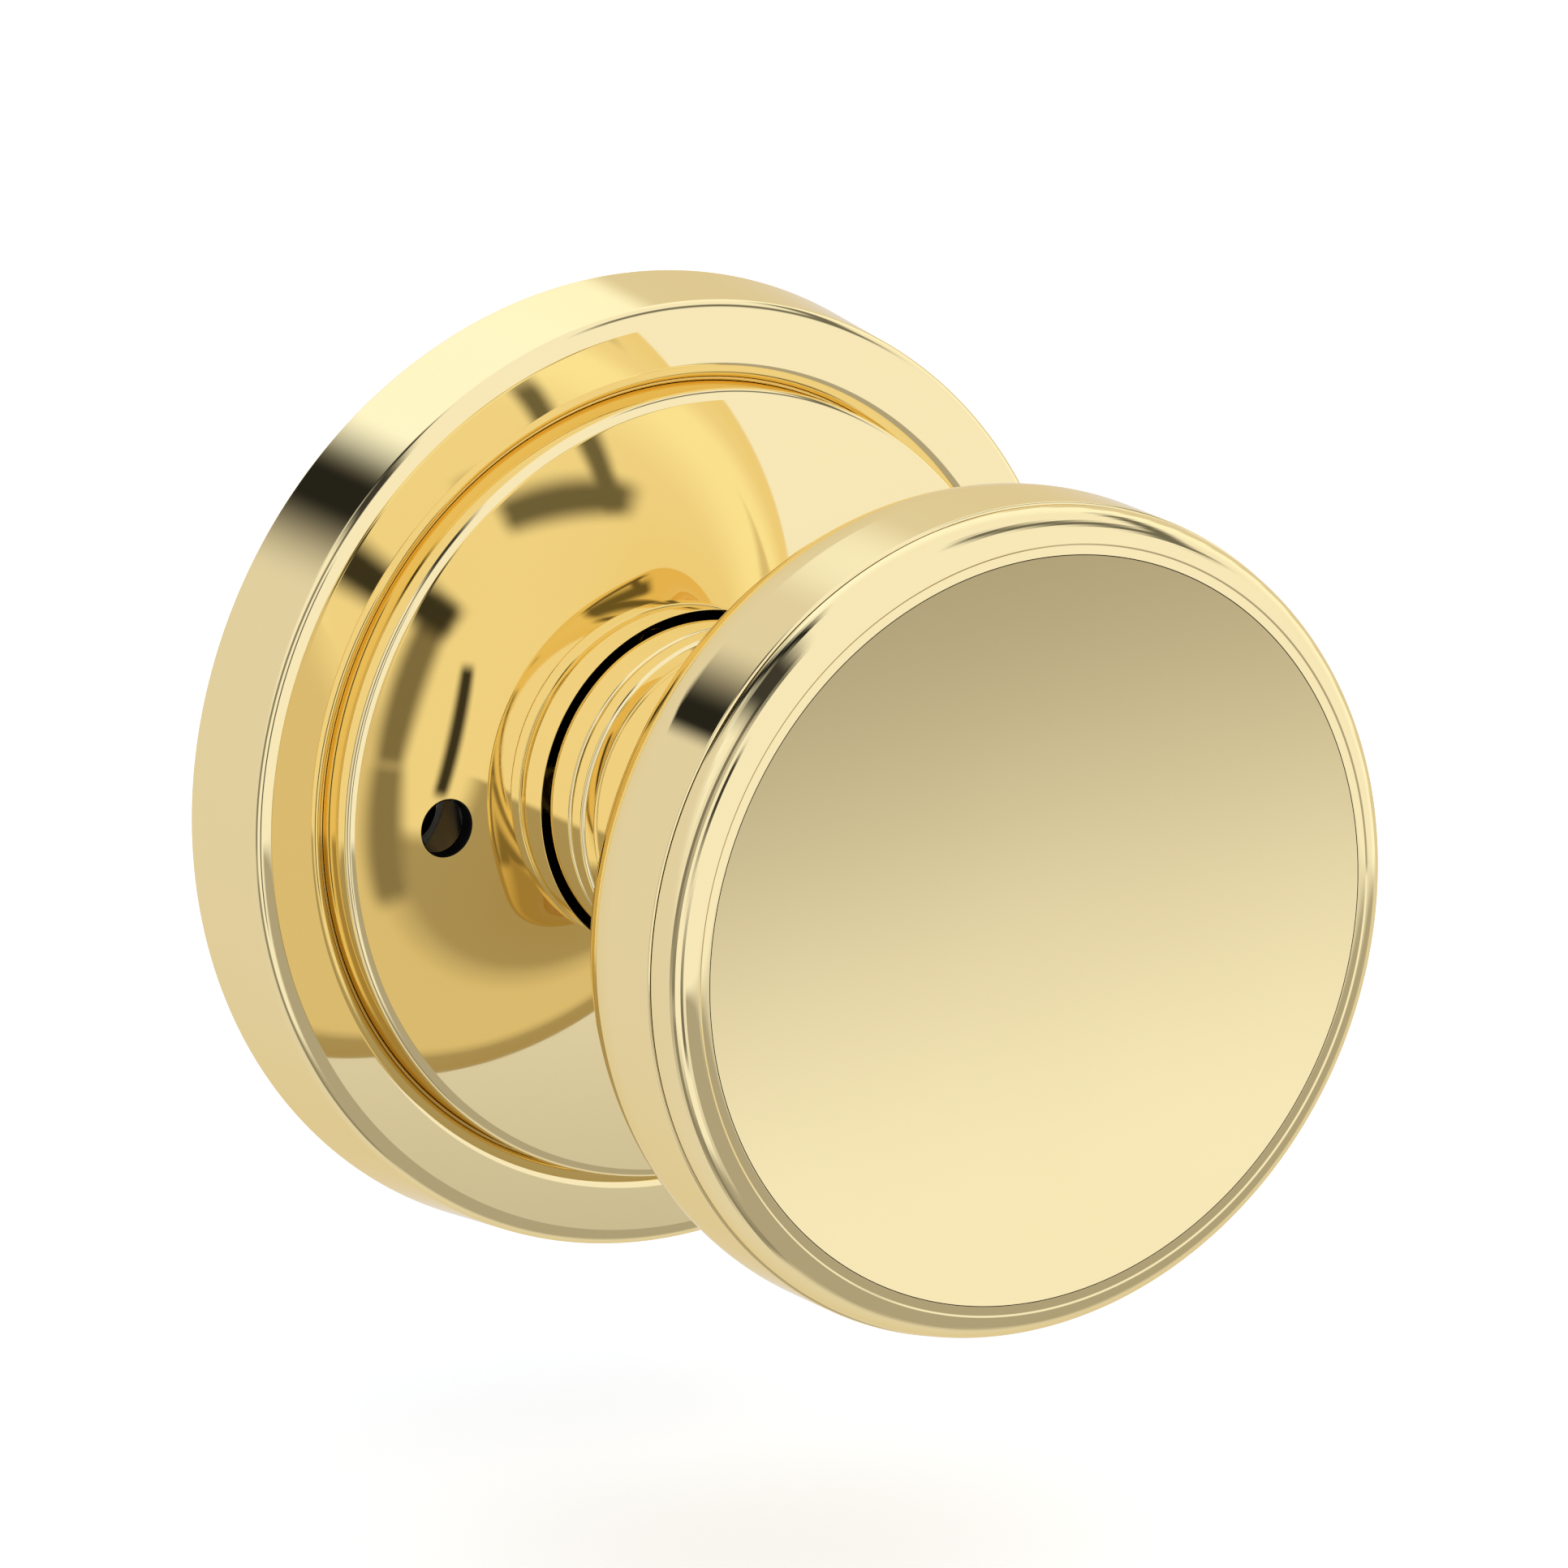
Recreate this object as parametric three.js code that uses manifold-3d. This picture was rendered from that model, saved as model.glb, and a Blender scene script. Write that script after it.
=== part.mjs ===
// Turning door knob on a round rosette: the outside half of a tubular privacy set.
// Millimetres, +Z up. The knob's axis is the Y axis and the knob points along -Y.
// The origin is on the knob's axis in the plane of the door's face.
// "height" is the distance out from the door's face, so a height h lies at y = -h.

import * as THREE from "three";
import { mergeVertices } from "three/addons/utils/BufferGeometryUtils.js";
import Module from "manifold-3d";

const wasm = await Module();
wasm.setup();

// ---- Driving dimensions -------------------------------------------------------------

const ROSE_BACK_R = 34.0;         // rosette drum where it meets the door
const ROSE_FRONT_R = 33.35;       // rosette drum at its front crease
const ROSE_SIDE_H = 6.7;
const RING_OUTER_R = 32.35;       // flat outer ring of the rosette
const RING_INNER_R = 29.2;
const RING_H = 8.0;
const RING_ROUND = 1.9;           // ring's inner edge, falling to the groove
const GROOVE_H = 7.25;
const DISH_WALL_R = 27.9;         // raised inner plate of the rosette
const DISH_R = 27.4;
const DISH_H = 10.72;
const DISH_ROUND = 1.1;
const COVER_T = 1.2;
const NECK_HOLE_R = 12.6;

const RELEASE_X = -20.05;         // emergency release, at nine o'clock
const RELEASE_HOLE_R = 1.95;
const GUIDE_R = 3.7;
const GUIDE_BORE_R = 2.9;
const GUIDE_BACK_H = -3.4;
const GUIDE_FLOOR_T = 0.9;
const PLUNGER_R = 1.55;
const PLUNGER_WAIST_R = 1.15;
const PLUNGER_HEAD_R = 2.6;
const PLUNGER_HEAD_H = 5.4;
const PLUNGER_HEAD_T = 1.0;
const PLUNGER_BACK_H = -14.0;

const COLLAR_R = 12.0;            // sleeve and bead next to the rosette
const COLLAR_BACK_H = 5.0;
const COLLAR_FRONT_H = 15.7;
const BEAD_START_H = 13.7;

const NECK_R = 11.4;              // knob shell
const KNOB_R = 29.0;
const SHELL_T = 1.0;
const BACK_ROUND_R = 8.3;         // rounded back corner of the knob's head
const BACK_ROUND_DEG = 66;        // how far that corner turns before the flare takes over
const SIDE_BACK_H = 45.9;
const SIDE_FRONT_H = 50.8;

const CAP_EDGE_R = 28.85;         // face cap: rounded edge, then a shallow dish
const FACE_R = 26.8;
const FACE_EDGE_H = 53.85;
const FACE_MIDDLE_H = 53.52;

const SHANK_R = 9.5;               // shank, spindle and their cross pin
const SHANK_BACK_H = -12.6;
const SHANK_FRONT_H = 44.5;
const GROOVE_R = 8.7;
const GROOVE_BACK_H = -12.1;
const GROOVE_FRONT_H = -11.1;
const CAM_FLAT = 8.6;
const SPINDLE_SIDE = 7.0;
const SPINDLE_BACK_H = -38;
const SPINDLE_FRONT_H = 20;
const PIN_R = 1.2;
const PIN_H = 9.0;

const CORE_R = 26.6;              // casting inside the head, and the screw that holds it
const CORE_TOP_H = 49.4;
const CORE_SCREW_R = 2.45;
const CORE_SCREW_BACK_H = 34;

const PLATE_R = 32.2;             // mounting plate under the rosette
const PLATE_T = 1.8;
const PLATE_BORE_R = 12.3;
const FLANGE_H = 2.9;             // front of the flanges that rest on the plate
const POST_Z = 19.0;              // bolt posts, 38 mm apart
const POST_R = 3.6;
const POST_BACK_H = -20;
const POST_THREAD_R = 1.65;
const POST_STUB_R = 2.8;          // riveted through the plate

const HOUSING_R = 14.6;           // spring housing behind the plate
const HOUSING_BACK_H = -10.6;
const HOUSING_WALL = 1.0;
const POCKET_R = 18.4;            // part of the housing that the spring's legs swing in
const POCKET_HALF_DEG = 68;
const LUG_INNER_R = 15.4;         // fixed lug between the spring's legs
const EAR_R = 3.6;
const EAR_T = 2.5;
const EARS = [[21.6, 0], [18.2, 135], [18.2, 225]];  // radius and degrees from +X
const SCREW_R = 1.45;
const SCREW_HOLE_R = 1.6;
const SCREW_HEAD_R = 2.7;
const SCREW_HEAD_T = 1.8;
const CAM_BACK_H = -9.4;
const CAM_T = 1.3;
const CAM_R = 13.3;
const CAM_LUG_R = 14.9;

const COIL_R = 11.3;              // torsion return spring
const WIRE_R = 0.7;
const COIL_TURNS = 3;
const COIL_FRONT_H = -2.3;
const COIL_LENGTH = 4.8;
const LEG_DEG = 13;
const LEG_END_R = 16.9;

const RELEASE_COIL_R = 2.2;       // compression spring under the plunger's head
const RELEASE_WIRE_R = 0.28;
const RELEASE_TURNS = 4.5;

const GAP = 0.1;                  // between neighbours that touch
const PAST = 1.0;                 // how far a cutting tool runs past what it cuts

const FINE = 40;                  // facets round a turned piece
const MEDIUM = 28;
const COARSE = 16;

// ---- Materials ----------------------------------------------------------------------

function metal(name, color, roughness) {
  return new THREE.MeshStandardMaterial({ name, color, roughness, metalness: 1 });
}

function plastic(name, color, roughness) {
  return new THREE.MeshStandardMaterial({ name, color, roughness, metalness: 0 });
}

const brass = metal("polished_brass", 0xe6d49c, 0.06);
const zinc = metal("die_cast_zinc", 0xa9abad, 0.45);
const steel = metal("zinc_plated_steel", 0xbfc2c4, 0.35);
const springSteel = metal("spring_steel", 0x6f7173, 0.4);
const nylon = plastic("white_nylon", 0xe9e6dc, 0.5);
const acetal = plastic("black_acetal", 0x101010, 0.45);

// ---- Helpers ------------------------------------------------------------------------

const radians = THREE.MathUtils.degToRad;

// Points [r, h] of an arc about [r, h] centre; 0 degrees points away from the axis and
// 90 degrees points away from the door.
function arc(centre, radiusR, radiusH, fromDeg, toDeg, steps) {
  const points = [];
  for (let i = 0; i <= steps; i += 1) {
    const a = radians(fromDeg + (toDeg - fromDeg) * i / steps);
    points.push([centre[0] + radiusR * Math.cos(a), centre[1] + radiusH * Math.sin(a)]);
  }
  return points;
}

function signedArea(points) {
  let area = 0;
  points.forEach(([r, h], i) => {
    const [nextR, nextH] = points[(i + 1) % points.length];
    area += (r * nextH - nextR * h) / 2;
  });
  return area;
}

// A solid of revolution about the knob's axis from its section, a list of [r, h].
function turned(section, facets = MEDIUM) {
  const ordered = signedArea(section) > 0 ? [...section].reverse() : [...section];
  const touchesAxis = ordered.some(([r]) => r === 0);
  if (touchesAxis) {
    while (ordered[0][0] !== 0 || ordered[ordered.length - 1][0] !== 0) {
      ordered.push(ordered.shift());
    }
  } else {
    ordered.push(ordered[0]);
  }
  const outline = ordered.map(([r, h]) => new THREE.Vector2(r, -h));
  return new THREE.LatheGeometry(outline, facets);
}

// A tube, washer or rod between two heights.
function sleeve(innerR, outerR, fromH, toH, facets = MEDIUM) {
  return turned([[innerR, fromH], [outerR, fromH], [outerR, toH], [innerR, toH]], facets);
}

// A rod or tube parallel to the knob's axis, centred on x, z.
function sleeveAt(x, z, innerR, outerR, fromH, toH, facets = COARSE) {
  return sleeve(innerR, outerR, fromH, toH, facets).translate(x, 0, z);
}

// A rod along X through the knob's axis at a height.
function rodAcross(radius, halfLength, height) {
  const rod = new THREE.CylinderGeometry(radius, radius, 2 * halfLength, COARSE);
  return rod.rotateZ(Math.PI / 2).translate(0, -height, 0);
}

// An upright block given by its least and greatest x, height and z.
function block(x, h, z) {
  const box = new THREE.BoxGeometry(x[1] - x[0], h[1] - h[0], z[1] - z[0]);
  return box.translate((x[0] + x[1]) / 2, -(h[0] + h[1]) / 2, (z[0] + z[1]) / 2);
}

// A wedge of a ring: radii, half its angle about +X, and heights.
function sector(innerR, outerR, halfDeg, fromH, toH) {
  const half = radians(halfDeg);
  const shape = new THREE.Shape();
  shape.absarc(0, 0, outerR, -half, half, false);
  shape.absarc(0, 0, innerR, half, -half, true);
  shape.closePath();
  const depth = toH - fromH;
  const solid = new THREE.ExtrudeGeometry(shape, { depth, bevelEnabled: false, curveSegments: 12 });
  return solid.rotateX(Math.PI / 2).translate(0, -fromH, 0);
}

// A round wire along a curve.
function wireAlong(extrudePath, radius, steps, curveSegments) {
  const section = new THREE.Shape();
  section.absarc(0, 0, radius, 0, 2 * Math.PI, false);
  const options = { steps, curveSegments, extrudePath, bevelEnabled: false };
  return new THREE.ExtrudeGeometry(section, options);
}

function toSolid(geometry) {
  const bare = geometry.clone();
  bare.deleteAttribute("normal");
  bare.deleteAttribute("uv");
  const merged = mergeVertices(bare.index ? bare : mergeVertices(bare), 1e-4);
  return new wasm.Manifold(new wasm.Mesh({
    numProp: 3,
    vertProperties: new Float32Array(merged.attributes.position.array),
    triVerts: new Uint32Array(merged.index.array),
  }));
}

function toGeometry(solid) {
  const mesh = solid.getMesh();
  const geometry = new THREE.BufferGeometry();
  geometry.setAttribute("position", new THREE.BufferAttribute(mesh.vertProperties, 3));
  geometry.setIndex(new THREE.BufferAttribute(mesh.triVerts, 1));
  geometry.computeVertexNormals();
  return geometry;
}

function joined(first, ...others) {
  return toGeometry(others.reduce((solid, other) => solid.add(toSolid(other)), toSolid(first)));
}

function cut(body, ...tools) {
  return toGeometry(tools.reduce((solid, tool) => solid.subtract(toSolid(tool)), toSolid(body)));
}

function shared(first, second) {
  return toGeometry(toSolid(first).intersect(toSolid(second)));
}

function node(name, geometry, material) {
  const mesh = new THREE.Mesh(geometry, material);
  mesh.name = name;
  return mesh;
}

// ---- Rosette and what it is fixed to --------------------------------------------------

function rosetteCover() {
  const rim = arc([RING_OUTER_R, ROSE_SIDE_H], ROSE_FRONT_R - RING_OUTER_R, RING_H - ROSE_SIDE_H,
    0, 90, 3);
  const ringInside = arc([RING_INNER_R, RING_H - RING_ROUND], RING_ROUND, RING_ROUND, 90, 132, 2);
  const dishEdge = arc([DISH_R, DISH_H - DISH_ROUND], DISH_WALL_R - DISH_R, DISH_ROUND, 0, 90, 3);
  const underDish = DISH_H - COVER_T;
  const underRing = RING_H - COVER_T;
  const section = [
    [ROSE_BACK_R, 0],
    ...rim,
    ...ringInside,
    [DISH_WALL_R, GROOVE_H],
    ...dishEdge,
    [NECK_HOLE_R, DISH_H],
    [NECK_HOLE_R, underDish],
    [DISH_WALL_R - COVER_T, underDish],
    [DISH_WALL_R - COVER_T, underRing - 0.7],
    [RING_OUTER_R - 0.6, underRing - 0.1],
    [ROSE_BACK_R - COVER_T, 0],
  ];
  const hole = sleeveAt(RELEASE_X, 0, 0, RELEASE_HOLE_R, underDish - PAST, DISH_H + PAST);
  return node("rosette_cover", cut(turned(section, FINE), hole), brass);
}

function earPlace([radius, degrees]) {
  return [radius * Math.cos(radians(degrees)), radius * Math.sin(radians(degrees))];
}

function mountingPlate() {
  const disc = sleeve(PLATE_BORE_R, PLATE_R, 0, PLATE_T, FINE);
  const hole = (x, z, radius) => sleeveAt(x, z, 0, radius, -PAST, PLATE_T + PAST);
  const posts = [POST_Z, -POST_Z].map((z) => hole(0, z, POST_STUB_R + GAP));
  const screws = EARS.map(earPlace).map(([x, z]) => hole(x, z, SCREW_HOLE_R));
  const guide = hole(RELEASE_X, 0, GUIDE_R + GAP);
  return node("mounting_plate", cut(disc, ...posts, ...screws, guide), steel);
}

// A bolt post: a riveted stub in the plate, a shoulder behind it and a blind threaded hole.
function boltPost(name, z) {
  const rivetR = POST_STUB_R + 0.8;
  const rivetT = 0.5;
  const shoulderR = POST_R + 0.5;
  const shoulderBackH = -1.6;
  const threadEndH = -2.4;
  const section = [
    [0, PLATE_T + GAP + rivetT],
    [rivetR, PLATE_T + GAP + rivetT],
    [rivetR, PLATE_T + GAP],
    [POST_STUB_R, PLATE_T + GAP],
    [POST_STUB_R, -GAP],
    [shoulderR, -GAP],
    [shoulderR, shoulderBackH],
    [POST_R, shoulderBackH],
    [POST_R, POST_BACK_H],
    [POST_THREAD_R, POST_BACK_H],
    [POST_THREAD_R, threadEndH],
    [0, threadEndH],
  ];
  return node(name, turned(section, COARSE).translate(0, 0, z), steel);
}

function springHousing() {
  const front = -GAP;
  const earBack = front - EAR_T;
  const ears = EARS.map(earPlace).map(([x, z]) => sleeveAt(x, z, 0, EAR_R, earBack, front));
  const arms = EARS.map(([radius, degrees]) => {
    const arm = block([HOUSING_R - 2, radius], [earBack, front], [-EAR_R, EAR_R]);
    return arm.rotateY(-radians(degrees));
  });
  const outside = joined(
    sleeve(0, HOUSING_R, HOUSING_BACK_H, front),
    sector(HOUSING_R - 2, POCKET_R, POCKET_HALF_DEG + 3, HOUSING_BACK_H, front),
    ...arms,
    ...ears,
  );
  const floorH = HOUSING_BACK_H + HOUSING_WALL;
  const open = front + PAST;
  const pocketR = POCKET_R - HOUSING_WALL;
  const pocket = sector(HOUSING_R - 3, pocketR, POCKET_HALF_DEG, floorH, open);
  const spring = sleeve(0, HOUSING_R - HOUSING_WALL + 0.2, floorH, open);
  const bore = sleeve(0, SHANK_R + 0.25, HOUSING_BACK_H - PAST, floorH + PAST);
  const screwHoles = EARS.map(earPlace).map(([x, z]) =>
    sleeveAt(x, z, 0, SCREW_HOLE_R, earBack - PAST, open));
  const hollow = cut(outside, spring, pocket, bore, ...screwHoles);
  const root = 0.3;
  const fixedLug = sector(LUG_INNER_R, pocketR + root, 6, floorH - root, front - 0.4);
  return node("spring_housing", joined(hollow, fixedLug), zinc);
}

function housingScrew(index, place) {
  const [x, z] = earPlace(place);
  const seat = -GAP - EAR_T - GAP;
  const headBack = seat - SCREW_HEAD_T;
  const tip = PLATE_T - 0.4;
  const section = [
    [0, headBack],
    [SCREW_HEAD_R - 0.8, headBack],
    [SCREW_HEAD_R - 0.1, headBack + 0.6],
    [SCREW_HEAD_R, seat],
    [SCREW_R, seat],
    [SCREW_R, tip],
    [0, tip],
  ];
  const arm = [-1.7, 1.7];
  const width = [-0.3, 0.3];
  const depth = [headBack - PAST, headBack + 0.9];
  const screw = cut(turned(section, COARSE), block(arm, depth, width), block(width, depth, arm));
  return node(`housing_screw_${index + 1}`, screw.translate(x, 0, z), steel);
}

// The torsion spring: just under three turns about the shank, with both ends turned out so
// that they straddle the fixed lug and the cam's lug.
class TorsionSpring extends THREE.Curve {
  getPoint(t, target = new THREE.Vector3()) {
    const legShare = 0.09;
    const coil = THREE.MathUtils.clamp((t - legShare) / (1 - 2 * legShare), 0, 1);
    const leg = Math.max(legShare - t, t - 1 + legShare, 0) / legShare;
    const angle = radians(LEG_DEG + (COIL_TURNS * 360 - 2 * LEG_DEG) * coil);
    const radius = COIL_R + (LEG_END_R - COIL_R) * leg;
    const height = COIL_FRONT_H - COIL_LENGTH * coil;
    return target.set(radius * Math.cos(angle), -height, radius * Math.sin(angle));
  }
}

function returnSpring() {
  return node("return_spring", wireAlong(new TorsionSpring(), WIRE_R, 72, 3), springSteel);
}

function neckBushing() {
  const boreR = SHANK_R + 0.15;
  const barrelR = PLATE_BORE_R - GAP;
  const flangeR = barrelR + 1.6;
  const nose = [12.0, 4.4];
  const section = [
    [boreR, 0],
    [barrelR, 0],
    [barrelR, PLATE_T + GAP],
    [flangeR, PLATE_T + GAP],
    [flangeR, FLANGE_H],
    [nose[0], FLANGE_H],
    nose,
    [boreR, nose[1]],
  ];
  return node("neck_bushing", turned(section), nylon);
}

// ---- Emergency release ----------------------------------------------------------------

function releaseGuide() {
  const stemR = PLUNGER_R + 0.25;
  const flangeR = GUIDE_R + 1.1;
  const noseH = 3.8;
  const floorH = GUIDE_BACK_H + GUIDE_FLOOR_T;
  const section = [
    [stemR, GUIDE_BACK_H],
    [GUIDE_R, GUIDE_BACK_H],
    [GUIDE_R, PLATE_T + GAP],
    [flangeR, PLATE_T + GAP],
    [flangeR, FLANGE_H],
    [GUIDE_R, FLANGE_H],
    [GUIDE_R, noseH],
    [GUIDE_BORE_R, noseH],
    [GUIDE_BORE_R, floorH],
    [stemR, floorH],
  ];
  return node("release_guide", turned(section, COARSE).translate(RELEASE_X, 0, 0), nylon);
}

function releasePlunger() {
  const chamfer = 0.4;
  const underHeadH = PLUNGER_HEAD_H - PLUNGER_HEAD_T;
  const section = [
    [0, PLUNGER_HEAD_H],
    [PLUNGER_HEAD_R - chamfer, PLUNGER_HEAD_H],
    [PLUNGER_HEAD_R, PLUNGER_HEAD_H - chamfer],
    [PLUNGER_HEAD_R, underHeadH],
    [PLUNGER_R, underHeadH],
    [PLUNGER_R, GUIDE_BACK_H - 0.2],
    [PLUNGER_WAIST_R, GUIDE_BACK_H - 0.2],
    [PLUNGER_WAIST_R, GUIDE_BACK_H - 1.1],
    [PLUNGER_R, GUIDE_BACK_H - 1.1],
    [PLUNGER_R, PLUNGER_BACK_H + chamfer],
    [PLUNGER_R - chamfer, PLUNGER_BACK_H],
    [0, PLUNGER_BACK_H],
  ];
  return node("release_plunger", turned(section, COARSE).translate(RELEASE_X, 0, 0), acetal);
}

function plungerClip() {
  const fromH = GUIDE_BACK_H - 1.0;
  const toH = GUIDE_BACK_H - 0.3;
  const outerR = 3.1;
  const mouth = block([0, outerR + PAST], [fromH - PAST, toH + PAST], [-0.8, 0.8]);
  const clip = cut(sleeve(PLUNGER_WAIST_R + GAP, outerR, fromH, toH, COARSE), mouth);
  return node("plunger_clip", clip.translate(RELEASE_X, 0, 0), springSteel);
}

// A helix about the plunger between its head and the guide's floor.
class CompressionSpring extends THREE.Curve {
  getPoint(t, target = new THREE.Vector3()) {
    const clear = RELEASE_WIRE_R + 0.15;
    const bottomH = GUIDE_BACK_H + GUIDE_FLOOR_T + clear;
    const topH = PLUNGER_HEAD_H - PLUNGER_HEAD_T - clear;
    const angle = 2 * Math.PI * RELEASE_TURNS * t;
    const height = bottomH + (topH - bottomH) * t;
    const x = RELEASE_X + RELEASE_COIL_R * Math.cos(angle);
    return target.set(x, -height, RELEASE_COIL_R * Math.sin(angle));
  }
}

function releaseSpring() {
  const coil = wireAlong(new CompressionSpring(), RELEASE_WIRE_R, 54, 2);
  return node("release_spring", coil, springSteel);
}

// ---- Everything that turns with the knob ------------------------------------------------

// The shell's outside from the neck to the side wall, or the same line set in by a wall.
function shellBack(inset) {
  const bend = BACK_ROUND_DEG;
  const roundCentre = [KNOB_R - BACK_ROUND_R, SIDE_BACK_H];
  const meetR = roundCentre[0] + BACK_ROUND_R * Math.cos(radians(bend));
  const meetH = roundCentre[1] - BACK_ROUND_R * Math.sin(radians(bend));
  const flareR = (meetR - NECK_R) / (1 - Math.cos(radians(bend)));
  const flareCentre = [NECK_R + flareR, meetH - flareR * Math.sin(radians(bend))];
  const flare = arc(flareCentre, flareR + inset, flareR + inset, 180, 180 - bend, 5);
  const corner = arc(roundCentre, BACK_ROUND_R - inset, BACK_ROUND_R - inset, -bend, 0, 4);
  return [...flare, ...corner.slice(1)];
}

function knobBackShell() {
  const section = [
    [NECK_R - SHELL_T, COLLAR_FRONT_H + GAP],
    [NECK_R, COLLAR_FRONT_H + GAP],
    ...shellBack(0),
    [KNOB_R, SIDE_FRONT_H - 0.3],
    [KNOB_R - 0.2, SIDE_FRONT_H],
    [KNOB_R - SHELL_T, SIDE_FRONT_H],
    ...shellBack(SHELL_T).reverse(),
  ];
  return node("knob_back_shell", turned(section, FINE), brass);
}

// The face from its shoulder to the middle: a shallow round dish.
function faceDish(drop, steps) {
  const points = [];
  for (let i = 0; i <= steps; i += 1) {
    const r = FACE_R * (1 - i / steps);
    const sink = (FACE_EDGE_H - FACE_MIDDLE_H) * (1 - (r / FACE_R) ** 2);
    points.push([r, FACE_EDGE_H - sink - drop]);
  }
  return points;
}

function knobFaceCap() {
  const capBackH = SIDE_FRONT_H + GAP;
  const edge = arc([FACE_R, capBackH], CAP_EDGE_R - FACE_R, FACE_EDGE_H - capBackH, 0, 90, 6);
  const skirtOut = KNOB_R - SHELL_T - GAP;
  const skirtIn = skirtOut - SHELL_T;
  const skirtBackH = 46.4;
  const section = [
    ...edge,
    ...faceDish(0, 3).slice(1),
    ...faceDish(SHELL_T, 2).reverse(),
    [skirtIn, capBackH + SHELL_T],
    [skirtIn, skirtBackH],
    [skirtOut, skirtBackH],
    [skirtOut, capBackH],
  ];
  return node("knob_face_cap", turned(section, FINE), brass);
}

function knobCore() {
  const bossBackH = 31;
  const discBackH = [44.8, 46.6];
  const seatH = SHANK_FRONT_H + 0.3;
  const section = [
    [SHANK_R + GAP, bossBackH],
    [12.6, bossBackH],
    [13.4, discBackH[0]],
    [CORE_R, discBackH[1]],
    [CORE_R, CORE_TOP_H],
    [CORE_SCREW_R + 0.25, CORE_TOP_H],
    [CORE_SCREW_R + 0.25, seatH],
    [SHANK_R + GAP, seatH],
  ];
  const pocketCount = 6;
  const pocketAxisR = 19.8;
  const pockets = [];
  for (let i = 0; i < pocketCount; i += 1) {
    const angle = 2 * Math.PI * i / pocketCount;
    const place = [pocketAxisR * Math.cos(angle), pocketAxisR * Math.sin(angle)];
    pockets.push(sleeveAt(...place, 0, 4.2, discBackH[0] - PAST, CORE_TOP_H + PAST));
  }
  return node("knob_core", cut(turned(section), ...pockets), zinc);
}

function coreScrew() {
  const headR = 4.7;
  const headH = CORE_TOP_H + GAP;
  const topH = headH + 2.6;
  const section = [
    [0, CORE_SCREW_BACK_H],
    [CORE_SCREW_R, CORE_SCREW_BACK_H],
    [CORE_SCREW_R, headH],
    [headR, headH],
    [headR, topH - 1],
    [headR - 1.1, topH],
    [0, topH],
  ];
  const slot = block([-headR - PAST, headR + PAST], [topH - 1.2, topH + PAST], [-0.6, 0.6]);
  return node("core_screw", cut(turned(section, COARSE), slot), steel);
}

function knobShank() {
  const screwHoleR = CORE_SCREW_R + 0.15;
  const screwHoleEndH = CORE_SCREW_BACK_H - 1;
  const section = [
    [0, SHANK_BACK_H],
    [SHANK_R - 0.5, SHANK_BACK_H],
    [SHANK_R - 0.2, GROOVE_BACK_H],
    [GROOVE_R, GROOVE_BACK_H],
    [GROOVE_R, GROOVE_FRONT_H],
    [SHANK_R, GROOVE_FRONT_H],
    [SHANK_R, SHANK_FRONT_H],
    [screwHoleR, SHANK_FRONT_H],
    [screwHoleR, screwHoleEndH],
    [0, screwHoleEndH],
  ];
  const backH = SHANK_BACK_H - PAST;
  const across = [-SHANK_R - PAST, SHANK_R + PAST];
  const flatFrontH = CAM_BACK_H + CAM_T + 0.5;
  const half = SPINDLE_SIDE / 2 + GAP;
  const square = block([-half, half], [backH, SPINDLE_FRONT_H + 0.5], [-half, half]);
  const upperFlat = block(across, [backH, flatFrontH], [CAM_FLAT, SHANK_R + PAST]);
  const lowerFlat = block(across, [backH, flatFrontH], [-SHANK_R - PAST, -CAM_FLAT]);
  const crossPin = rodAcross(PIN_R + GAP, SHANK_R + PAST, PIN_H);
  return node("knob_shank", cut(turned(section), square, upperFlat, lowerFlat, crossPin), zinc);
}

function neckCollar() {
  const beadMidH = (BEAD_START_H + COLLAR_FRONT_H) / 2;
  const beadHalf = (COLLAR_FRONT_H - BEAD_START_H) / 2;
  const section = [
    [SHANK_R + GAP, COLLAR_BACK_H],
    [COLLAR_R - 0.3, COLLAR_BACK_H],
    [COLLAR_R, COLLAR_BACK_H + 0.3],
    [COLLAR_R, BEAD_START_H - 0.25],
    [COLLAR_R - 0.35, BEAD_START_H],
    ...arc([COLLAR_R - 0.45, beadMidH], 0.6, beadHalf, -80, 80, 4),
    [NECK_R - 0.1, COLLAR_FRONT_H],
    [SHANK_R + GAP, COLLAR_FRONT_H],
  ];
  return node("neck_collar", turned(section), brass);
}

function driveCam() {
  const frontH = CAM_BACK_H + CAM_T;
  const lugHalfDeg = 8;
  const lugFrontH = -1.6;
  const disc = joined(
    sleeve(0, CAM_R, CAM_BACK_H, frontH),
    sector(SHANK_R, CAM_LUG_R, lugHalfDeg, CAM_BACK_H, frontH),
    sector(CAM_R - 0.4, CAM_LUG_R, lugHalfDeg, frontH - 0.2, lugFrontH),
  );
  const half = CAM_FLAT + GAP;
  const holeH = [CAM_BACK_H - PAST, frontH + PAST];
  const flats = block([-SHANK_R - PAST, SHANK_R + PAST], holeH, [-half, half]);
  const keyhole = shared(sleeve(0, SHANK_R + GAP, ...holeH), flats);
  return node("drive_cam", cut(disc, keyhole), steel);
}

function retainingRing() {
  const outerR = 11.6;
  const fromH = GROOVE_BACK_H + GAP;
  const toH = GROOVE_FRONT_H - GAP - 0.05;
  const cutH = [fromH - PAST, toH + PAST];
  const mouth = block([-3, 3], cutH, [-outerR - PAST, 0]);
  const eyes = [-4.6, 4.6].map((x) => sleeveAt(x, -9.6, 0, 0.6, ...cutH));
  return node("retaining_ring", cut(sleeve(GROOVE_R + 0.15, outerR, fromH, toH), mouth, ...eyes),
    springSteel);
}

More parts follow.
